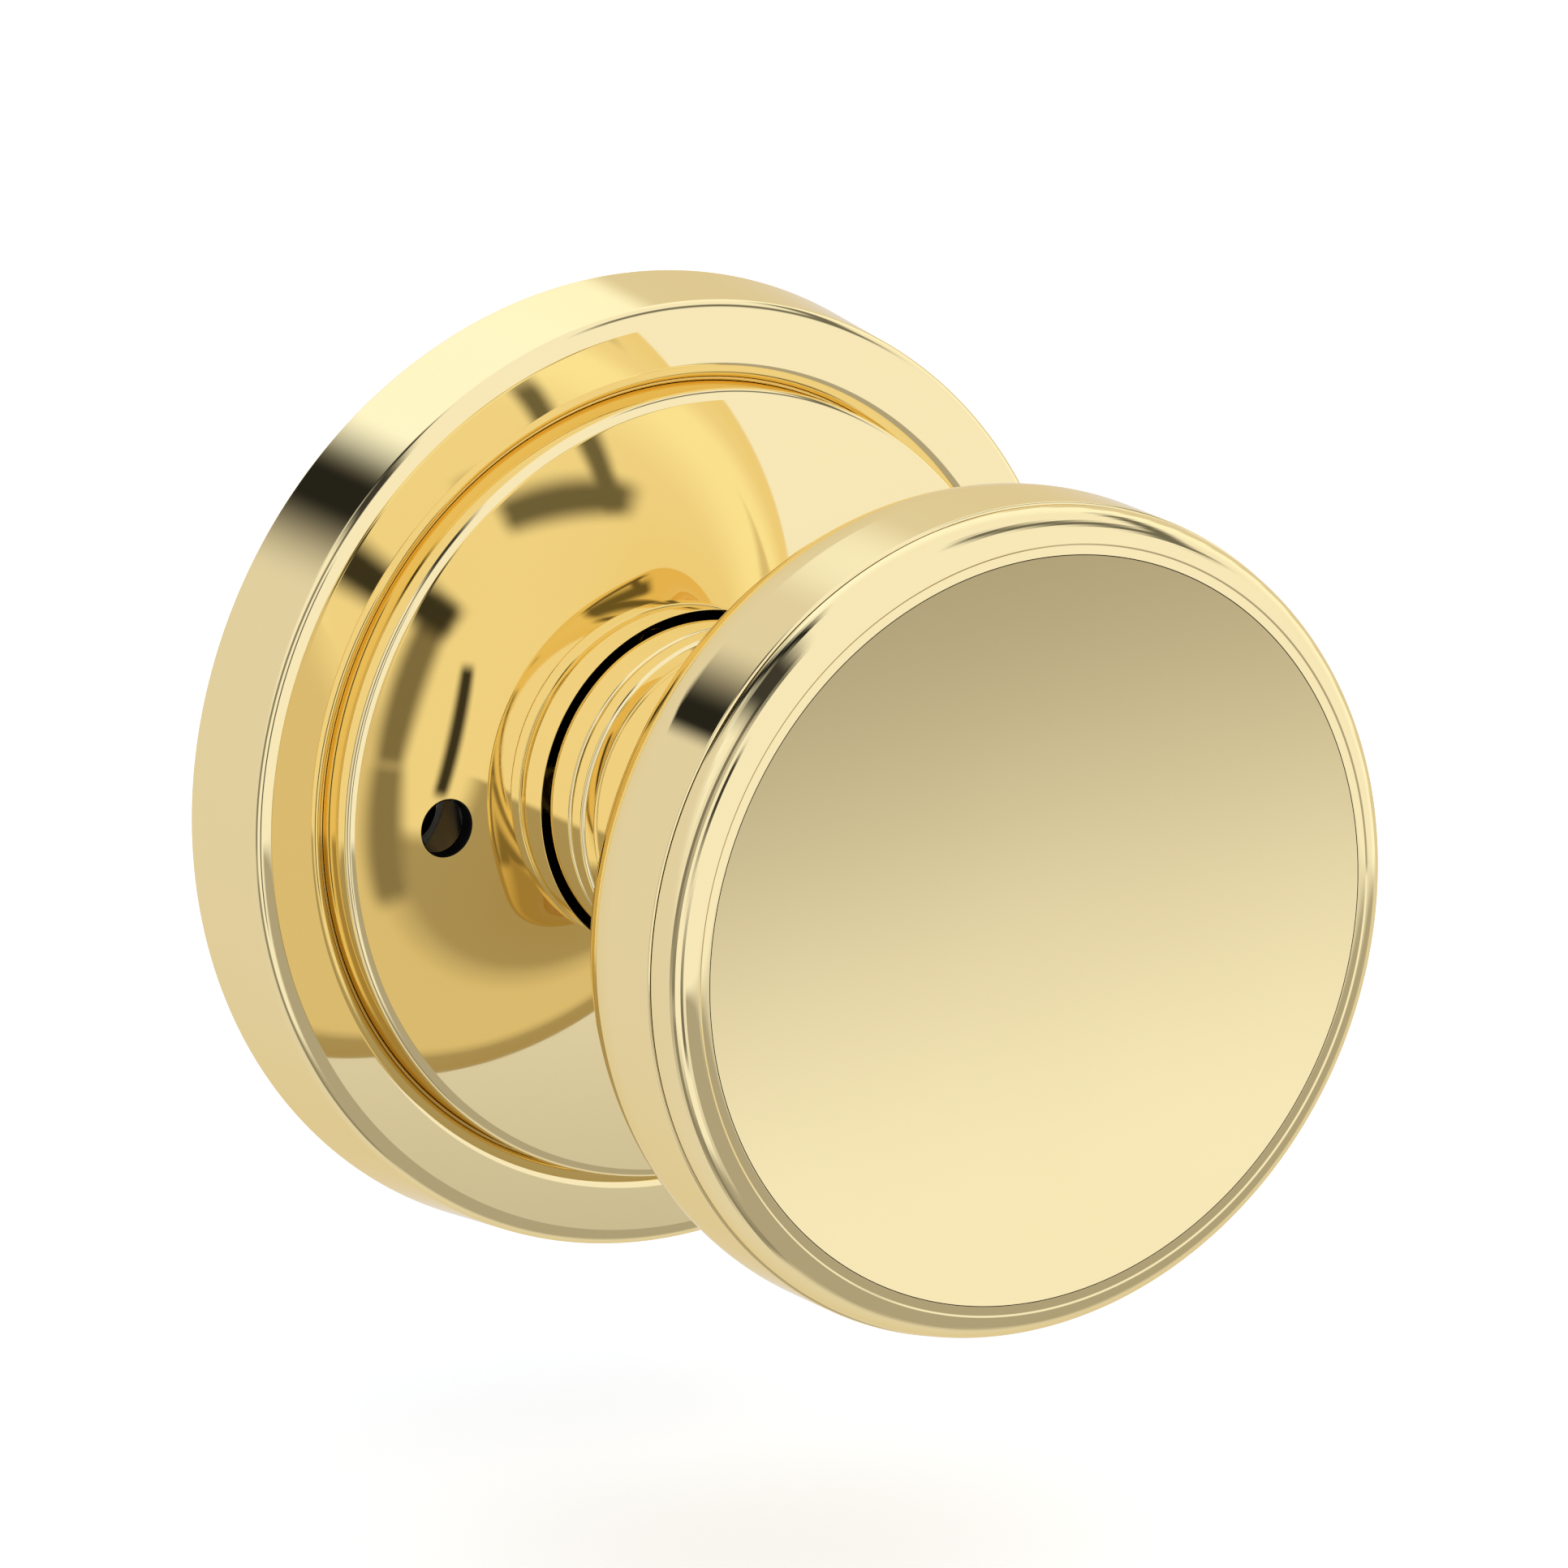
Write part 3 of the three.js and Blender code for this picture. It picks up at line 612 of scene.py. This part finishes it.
PLATE_R, PLATE_T, PLATE_BORE_R, FLANGE_H = 32.2, 1.8, 12.3, 2.9
POST_Z, POST_STUB_R = 19.0, 2.8
GUIDE_R, GUIDE_BACK_H = 3.7, -3.4
HOUSING_R, HOUSING_BACK_H, HOUSING_WALL, HOUSING_FRONT_H = 14.6, -10.6, 1.0, -0.1
POCKET_R, POCKET_HALF_DEG, LUG_INNER_R = 18.4, 68, 15.4
EAR_R, EAR_T = 3.6, 2.5
EARS = [(21.6, 0), (18.2, 135), (18.2, 225)]
SCREW_R, SCREW_HOLE_R = 1.45, 1.6
SHANK_R, SPINDLE_HALF = 9.5, 3.5


def ear_place(radius, degrees):
    """The x and z of a screw's ear."""
    return radius * math.cos(math.radians(degrees)), radius * math.sin(math.radians(degrees))


def mounting_plate():
    """The disc with its bore and the holes for posts, guide and screws."""
    disc = solid_of_revolution([(PLATE_BORE_R, 0, 0.2), (PLATE_R, 0, 0.35), (PLATE_R, PLATE_T, 0.35),
                                (PLATE_BORE_R, PLATE_T, 0.2)], SEGMENTS)
    places = [(0, POST_Z, POST_STUB_R + 0.1), (0, -POST_Z, POST_STUB_R + 0.1),
              (RELEASE_X, 0, GUIDE_R + 0.1)]
    places += [(*ear_place(*ear), SCREW_HOLE_R) for ear in EARS]
    holes = [rod(radius, -1, PLATE_T + 1, x, z) for x, z, radius in places]
    carved("mounting_plate_skin", disc, [], holes, steel, "fixed", ["mounting_plate"])


def bolt_post(node, z):
    """A riveted post with a countersunk mouth and the first turns of its thread."""
    thread = []
    pitch, turns, core_r, root_r, first_h = 0.7, 8, 1.65, 1.95, -19.3
    for i in range(turns):
        h = first_h + i * pitch
        thread += [(core_r, h, 0.03, 1), (root_r, h + pitch / 2, 0.03, 1)]
    turned_piece(node + "_skin", [
        (0, 2.4), (3.6, 2.4, 0.35), (3.6, 1.9), (POST_STUB_R, 1.9, 0.05), (POST_STUB_R, -0.1, 0.05),
        (4.1, -0.1), (4.1, -1.6), (3.6, -1.6, 0.1), (3.6, -20, 0.3), (2.05, -20, 0.05),
        *thread, (core_r, -2.4, 0.05), (0, -2.4),
    ], steel, "fixed", [node], SMALL_SEGMENTS, 0, z)


def spring_housing():
    """The cup with its pocket for the spring's legs, its three ears and its lug."""
    back, front = HOUSING_BACK_H, HOUSING_FRONT_H
    cup = solid_of_revolution([(0, back), (HOUSING_R, back, 0.8, 6), (HOUSING_R, front), (0, front)],
                              SEGMENTS)
    joins = [wedge(HOUSING_R - 2, POCKET_R, POCKET_HALF_DEG + 3, back, front)]
    for radius, degrees in EARS:
        x, z = ear_place(radius, degrees)
        joins.append(bar((HOUSING_R - 2, radius), (0.3 - EAR_R, EAR_R - 0.3), front - EAR_T, front,
                         degrees))
        joins.append(rod(EAR_R, front - EAR_T, front, x, z))
    floor_h = back + HOUSING_WALL
    cuts = [rod(HOUSING_R - HOUSING_WALL + 0.2, floor_h, front + 1, steps=SEGMENTS // 2),
            wedge(HOUSING_R - 3, POCKET_R - HOUSING_WALL, POCKET_HALF_DEG, floor_h, front + 1),
            rod(SHANK_R + 0.25, back - 1, floor_h + 1, steps=SEGMENTS // 2)]
    cuts += [rod(SCREW_HOLE_R, front - EAR_T - 1, front + 1, *ear_place(*ear)) for ear in EARS]
    carved("spring_housing_skin", cup, joins, cuts, zinc, "fixed", ["spring_housing"])
    lug = wedge(LUG_INNER_R, POCKET_R - HOUSING_WALL - 0.05, 6, floor_h + 0.05, front - 0.4)
    carved("spring_lug", lug, [], [], zinc, "fixed", [], bevel=0.2)


def housing_screw(index, ear):
    """A pan head screw with a cross recess."""
    x, z = ear_place(*ear)
    seat = HOUSING_FRONT_H - EAR_T - 0.1
    head, head_r = seat - 1.8, 2.7
    section = [(0, head), (head_r, head, 1.0, 8), (head_r, seat, 0.1), (SCREW_R, seat, 0.05),
               (SCREW_R, PLATE_T - 0.4), (0, PLATE_T - 0.4)]
    arm, half = 1.7, 0.32
    recess = [bar((x - arm, x + arm), (z - half, z + half), head - 1, head + 0.9),
              bar((x - half, x + half), (z - arm, z + arm), head - 1, head + 0.9),
              rod(0.75, head - 1, head + 1.1, x, z, 24)]
    name = f"housing_screw_{index + 1}"
    carved(name + "_skin", solid_of_revolution(section, SMALL_SEGMENTS, x, z), [], recess, steel,
           "fixed", [name])


mounting_plate()
bolt_post("bolt_post_top", POST_Z)
bolt_post("bolt_post_bottom", -POST_Z)
spring_housing()
for number, ear in enumerate(EARS):
    housing_screw(number, ear)

turned_piece("neck_bushing_skin", [
    (SHANK_R + 0.15, 0), (12.2, 0, 0.3), (12.2, 1.9, 0.05), (13.8, 1.9), (13.8, FLANGE_H, 0.3),
    (12.0, FLANGE_H, 0.2), (12.0, 4.4, 0.3), (SHANK_R + 0.15, 4.4, 0.3),
], nylon, "fixed", ["neck_bushing"], SEGMENTS // 2)

# ---- Springs -------------------------------------------------------------------------------

def torsion_path():
    """Three turns about the shank with both ends turned out."""
    leg, coil = 6, 180
    coil_r, leg_r = 11.3, 16.9
    front_h, back_h = -2.3, -7.1
    first, last = math.radians(13), math.radians(3 * 360 - 13)
    path = []
    for i in range(leg):
        path.append((leg_r + (coil_r - leg_r) * i / leg, first, front_h))
    for i in range(coil + 1):
        share = i / coil
        path.append((coil_r, first + (last - first) * share, front_h + (back_h - front_h) * share))
    for i in range(1, leg + 1):
        path.append((coil_r + (leg_r - coil_r) * i / leg, last, back_h))
    return [(r * math.cos(a), -h, r * math.sin(a)) for r, a, h in path]


def compression_path():
    """A plain coil round the plunger."""
    low, high, coil_r = -2.07, 3.97, 2.2
    turns, steps = 4.5, 162
    path = []
    for i in range(steps + 1):
        share = i / steps
        angle = 2 * math.pi * turns * share
        path.append((RELEASE_X + coil_r * math.cos(angle), -(low + (high - low) * share),
                     coil_r * math.sin(angle)))
    return path


torsion = wire("return_spring_wire", torsion_path(), 0.7, dark_steel, ["return_spring"])
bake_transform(torsion)
compression = wire("release_spring_wire", compression_path(), 0.28, dark_steel,
                   ["release_spring"], 10)
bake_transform(compression)

# ---- Release -------------------------------------------------------------------------------

turned_piece("release_guide_skin", [
    (1.8, GUIDE_BACK_H), (GUIDE_R, GUIDE_BACK_H, 0.4), (GUIDE_R, 1.9, 0.05), (4.8, 1.9),
    (4.8, FLANGE_H, 0.3), (GUIDE_R, FLANGE_H, 0.1), (GUIDE_R, 3.8, 0.2), (2.9, 3.8),
    (2.9, -2.5), (1.8, -2.5),
], nylon, "fixed", ["release_guide"], SMALL_SEGMENTS, RELEASE_X)

STEM_R, PLUNGER_HEAD_R, PLUNGER_FRONT_H, PLUNGER_BACK_H = 1.55, 2.6, 5.4, -14
turned_piece("release_plunger_skin", [
    (0, PLUNGER_FRONT_H), (PLUNGER_HEAD_R, PLUNGER_FRONT_H, 0.4, 6), (PLUNGER_HEAD_R, 4.4),
    (STEM_R, 4.4, 0.2), (STEM_R, -3.6, 0.05), (1.15, -3.6, 0.05), (1.15, -4.5, 0.05),
    (STEM_R, -4.5, 0.05), (STEM_R, PLUNGER_BACK_H, 0.5, 6), (0, PLUNGER_BACK_H),
], acetal_and_hole_shade, "release", ["release_plunger"], SMALL_SEGMENTS, RELEASE_X)

clip_blank = solid_of_revolution([(1.25, -4.4, 0.08), (3.1, -4.4, 0.12), (3.1, -3.7, 0.12),
                                  (1.25, -3.7, 0.08)], SMALL_SEGMENTS, RELEASE_X)
clip_mouth = bar((RELEASE_X, RELEASE_X + 4), (-0.8, 0.8), -5, -3)
carved("plunger_clip_skin", clip_blank, [], [clip_mouth], dark_steel, "release", ["plunger_clip"])

# ---- Shank, spindle and what holds them ------------------------------------------------------

def knob_shank():
    """The shank with its square socket and two flats at the back."""
    back, front, groove_r, screw_bore_r = -12.6, 44.5, 8.7, 2.6
    body = solid_of_revolution([
        (0, back), (SHANK_R - 0.2, back, 0.3), (SHANK_R - 0.2, -12.1, 0.05),
        (groove_r, -12.1, 0.05), (groove_r, -11.1, 0.05), (SHANK_R, -11.1, 0.1), (SHANK_R, front),
        (screw_bore_r, front), (screw_bore_r, 33), (0, 33),
    ], SEGMENTS // 2)
    half = SPINDLE_HALF + 0.1
    cuts = [bar((-half, half), (-half, half), -14, 20.5),
            bar((-11, 11), (8.6, 11), -14, -7.6),
            bar((-11, 11), (-11, -8.6), -14, -7.6)]
    carved("knob_shank_skin", body, [], cuts, zinc, "knob", ["knob_shank"])


def retaining_ring():
    """An open ring with two holes for pliers."""
    blank = solid_of_revolution([(8.85, -12.0, 0.08), (11.6, -12.0, 0.15), (11.6, -11.25, 0.15),
                                 (8.85, -11.25, 0.08)], SEGMENTS // 2)
    cuts = [bar((-3, 3), (-13, 0), -13, -10)]
    cuts += [rod(0.6, -13, -10, x, -9.6, 24) for x in (-4.6, 4.6)]
    carved("retaining_ring_skin", blank, [], cuts, dark_steel, "knob", ["retaining_ring"])


def spindle():
    """A square bar with eased edges and a tapered end."""
    half, ease, tip = SPINDLE_HALF, 0.35, 2.6
    outline = []
    for turn_deg in range(0, 360, 90):
        angle = math.radians(turn_deg)
        for x, z in ((half, -half + ease), (half, half - ease)):
            outline.append((x * math.cos(angle) - z * math.sin(angle),
                            x * math.sin(angle) + z * math.cos(angle)))
    count = len(outline)
    levels = [(-38, tip / half), (-36.5, 1), (19.8, 1), (20, 0.95)]
    vertices = [Vector((x * share * MM, -h * MM, z * share * MM))
                for h, share in levels for x, z in outline]
    faces = [list(range(count)), list(range(len(vertices) - 1, len(vertices) - count - 1, -1))]
    for level in range(len(levels) - 1):
        base = level * count
        faces += [[base + i, base + count + i, base + count + (i + 1) % count,
                   base + (i + 1) % count] for i in range(count)]
    carved("spindle_skin", (vertices, faces), [], [], steel, "knob", ["spindle"])


knob_shank()
retaining_ring()
spindle()
turned_piece("thrust_washer_skin", [
    (9.6, 4.5), (11.9, 4.5), (11.9, 4.9), (9.6, 4.9),
], steel, "knob", ["thrust_washer"], SEGMENTS // 2)
turned_piece("rear_washer_skin", [
    (9.6, -11.1, 0.08), (12.6, -11.1, 0.1), (12.6, -10.7, 0.1), (9.6, -10.7, 0.08),
], dark_steel, "knob", ["rear_washer"], SEGMENTS // 2)

# ---- CAD pieces that stay as they are, inside the housing and the head ------------------------

for node, finish in (("drive_cam", steel), ("spindle_pin", steel), ("knob_core", zinc),
                     ("core_screw", steel)):
    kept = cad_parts[node]
    kept.data.materials.clear()
    kept.data.materials.append(finish)

# ---- Stage -------------------------------------------------------------------------

FLOOR_REACH, FLOOR_Z = 3, -0.05    # in metres
floor_mesh = bpy.data.meshes.new("floor")
floor_mesh.from_pydata([(-FLOOR_REACH, -FLOOR_REACH, FLOOR_Z), (FLOOR_REACH, -FLOOR_REACH, FLOOR_Z),
                        (FLOOR_REACH, FLOOR_REACH, FLOOR_Z), (-FLOOR_REACH, FLOOR_REACH, FLOOR_Z)],
                       [], [(0, 1, 2, 3)])
floor = bpy.data.objects.new("floor", floor_mesh)
bpy.context.scene.collection.objects.link(floor)
floor_paint = bpy.data.materials.new("pale_floor")
floor_paint.use_nodes = True
floor_shader = floor_paint.node_tree.nodes["Principled BSDF"]
floor_shader.inputs["Base Color"].default_value = (0.9, 0.9, 0.9, 1)
floor_shader.inputs["Roughness"].default_value = 0.9
floor_shader.inputs["Specular IOR Level"].default_value = 0.1
floor_shader.inputs["Emission Color"].default_value = (1, 1, 1, 1)
floor_shader.inputs["Emission Strength"].default_value = 0.4
floor_mesh.materials.append(floor_paint)
floor.visible_glossy = False


def direction(azimuth, elevation):
    """The way from the object to a point of the studio: azimuth 0 is the room in front of the
    knob, 90 is to its right."""
    a, e = math.radians(azimuth), math.radians(elevation)
    return Vector((math.sin(a) * math.cos(e), -math.cos(a) * math.cos(e), math.sin(e)))


class Studio:
    """A world made of soft-edged panels, far away all round the object."""

    def __init__(self, base):
        self.world = bpy.data.worlds.new("studio")
        bpy.context.scene.world = self.world
        self.world.use_nodes = True
        self.nodes = self.world.node_tree.nodes
        self.links = self.world.node_tree.links
        self.way = self.nodes.new("ShaderNodeTexCoord").outputs["Generated"]
        colour = self.nodes.new("ShaderNodeRGB")
        colour.outputs[0].default_value = (*base, 1)
        self.colour = colour.outputs[0]

    def dot(self, vector):
        """How far each way of looking points along a vector."""
        product = self.nodes.new("ShaderNodeVectorMath")
        product.operation = "DOT_PRODUCT"
        self.links.new(self.way, product.inputs[0])
        product.inputs[1].default_value = vector
        return product.outputs["Value"]

    def math(self, operation, *values):
        node = self.nodes.new("ShaderNodeMath")
        node.operation = operation
        for socket, value in zip(node.inputs, values):
            if isinstance(value, (int, float)):
                socket.default_value = value
            else:
                self.links.new(value, socket)
        return node.outputs[0]

    def ramp(self, value, start, end):
        """0 at start and 1 at end, smoothly."""
        node = self.nodes.new("ShaderNodeMapRange")
        node.interpolation_type = "SMOOTHSTEP"
        self.links.new(value, node.inputs["Value"])
        node.inputs["From Min"].default_value = min(start, end)
        node.inputs["From Max"].default_value = max(start, end)
        if start > end:
            node.inputs["To Min"].default_value = 1
            node.inputs["To Max"].default_value = 0
        return node.outputs["Result"]

    def cover(self, mask, colour):
        """Lays a colour over the world where the mask is 1."""
        mix = self.nodes.new("ShaderNodeMix")
        mix.data_type = "RGBA"
        self.links.new(mask, mix.inputs["Factor"])
        self.links.new(self.colour, mix.inputs["A"])
        mix.inputs["B"].default_value = (*colour, 1)
        self.colour = mix.outputs["Result"]

    def panel(self, start, end, width, soft_ends, soft_sides, colour):
        """A strip between two directions, its width and soft edges in degrees."""
        first, last = direction(*start), direction(*end)
        middle = (first + last).normalized()
        along = (last - first).normalized()
        length = math.degrees(first.angle(last))
        ahead = self.dot(middle)
        masks = [self.ramp(ahead, 0.0, 0.02)]
        for axis, size, soft in ((along, length, soft_ends),
                                 (along.cross(middle), width, soft_sides)):
            offset = self.math("DIVIDE", self.dot(axis), self.math("MAXIMUM", ahead, 0.01))
            half = math.radians(size / 2)
            edge = math.radians(soft / 2)
            masks.append(self.ramp(self.math("ABSOLUTE", offset), math.tan(half + edge),
                                   math.tan(max(half - edge, 0))))
        mask = self.math("MULTIPLY", self.math("MULTIPLY", masks[0], masks[1]), masks[2])
        self.cover(mask, colour)

    def half_space(self, normal, soft, colour):
        """Everything on one side of a plane through the object."""
        edge = math.sin(math.radians(soft / 2))
        self.cover(self.ramp(self.dot(normal.normalized()), -edge, edge), colour)

    def table(self, start, end, colour):
        """A dark ground in front of the object, which fades in between these elevations. On the
        left only its deeper part shows."""
        parts = self.nodes.new("ShaderNodeSeparateXYZ")
        self.links.new(self.way, parts.inputs[0])
        low = self.ramp(parts.outputs["Z"], math.sin(math.radians(start)),
                        math.sin(math.radians(end)))
        front = self.ramp(parts.outputs["Y"], 0.1, -0.2)
        right_part = self.ramp(self.dot(direction(48, 0)), -0.12, 0.12)
        deep = self.ramp(parts.outputs["Z"], math.sin(math.radians(-46)),
                         math.sin(math.radians(-58)))
        across = self.math("MAXIMUM", right_part, deep)
        self.cover(self.math("MULTIPLY", self.math("MULTIPLY", low, front), across), colour)

    def finish(self, seen):
        """What the camera sees directly is one even colour."""
        path = self.nodes.new("ShaderNodeLightPath")
        mix = self.nodes.new("ShaderNodeMix")
        mix.data_type = "RGBA"
        self.links.new(path.outputs["Is Camera Ray"], mix.inputs["Factor"])
        self.links.new(self.colour, mix.inputs["A"])
        mix.inputs["B"].default_value = (*seen, 1)
        self.links.new(mix.outputs["Result"], self.nodes["Background"].inputs["Color"])


WALL = (1.01, 1.02, 1.04)
GREY = (0.46, 0.44, 0.41)
studio = Studio(base=(0.81, 0.79, 0.76))
# Everything in front above the table is a bright wall.
studio.half_space(Vector((0, -1, 0.1)), 12, WALL)
# Overhead light, whose far edge runs straight across behind the object.
overhead = Vector((0, 0, 1)) - 0.78 * direction(-160, 0)
studio.half_space(overhead, 3, (1.12, 1.20, 1.30))
studio.half_space(Vector((0, -1, 0.9)), 20, WALL)
# The table in front, which starts a little below the horizon.
studio.table(-14.9, -17.9, GREY)
# Dark edges beside and below the object, and the shade to the right.
studio.panel((-85, 60), (-85, -20), 14, 10, 9, (0.24, 0.23, 0.21))
studio.panel((-85, -20), (-80, -80), 14, 10, 9, (0.28, 0.27, 0.25))
studio.panel((-58, 34), (-58, -30), 7, 8, 5, (0.05, 0.05, 0.05))
studio.panel((79, 22), (98, 74), 14, 10, 10, (0.18, 0.18, 0.17))
studio.panel((76, 29), (124, 31), 7, 10, 5, (0.18, 0.18, 0.17))
# Dark flag behind, to the left.
studio.panel((-72, 52), (-140, 44), 18, 10, 12, (0.05, 0.05, 0.05))
studio.panel((-148, 58), (-153, 22), 13, 3, 10, (0.02, 0.02, 0.02))
studio.finish(seen=(1, 1, 1))

VIEW_AZIMUTH, VIEW_ELEVATION = -32.467, 15.699
EYE = Vector((-0.86030, -1.37428, 0.45327))
LENS = 559.0
camera_data = bpy.data.cameras.new("camera")
camera_data.sensor_width = 36
camera_data.lens = LENS
camera_data.clip_start = 0.1
camera_data.clip_end = 20
camera = bpy.data.objects.new("camera", camera_data)
back = direction(VIEW_AZIMUTH, VIEW_ELEVATION)
right = direction(VIEW_AZIMUTH + 90, 0)
up = back.cross(right)
camera.matrix_world = Matrix((right, up, back)).transposed().to_4x4()
camera.location = EYE
bpy.context.scene.collection.objects.link(camera)
bpy.context.scene.camera = camera
bpy.context.scene.view_settings.view_transform = "Standard"
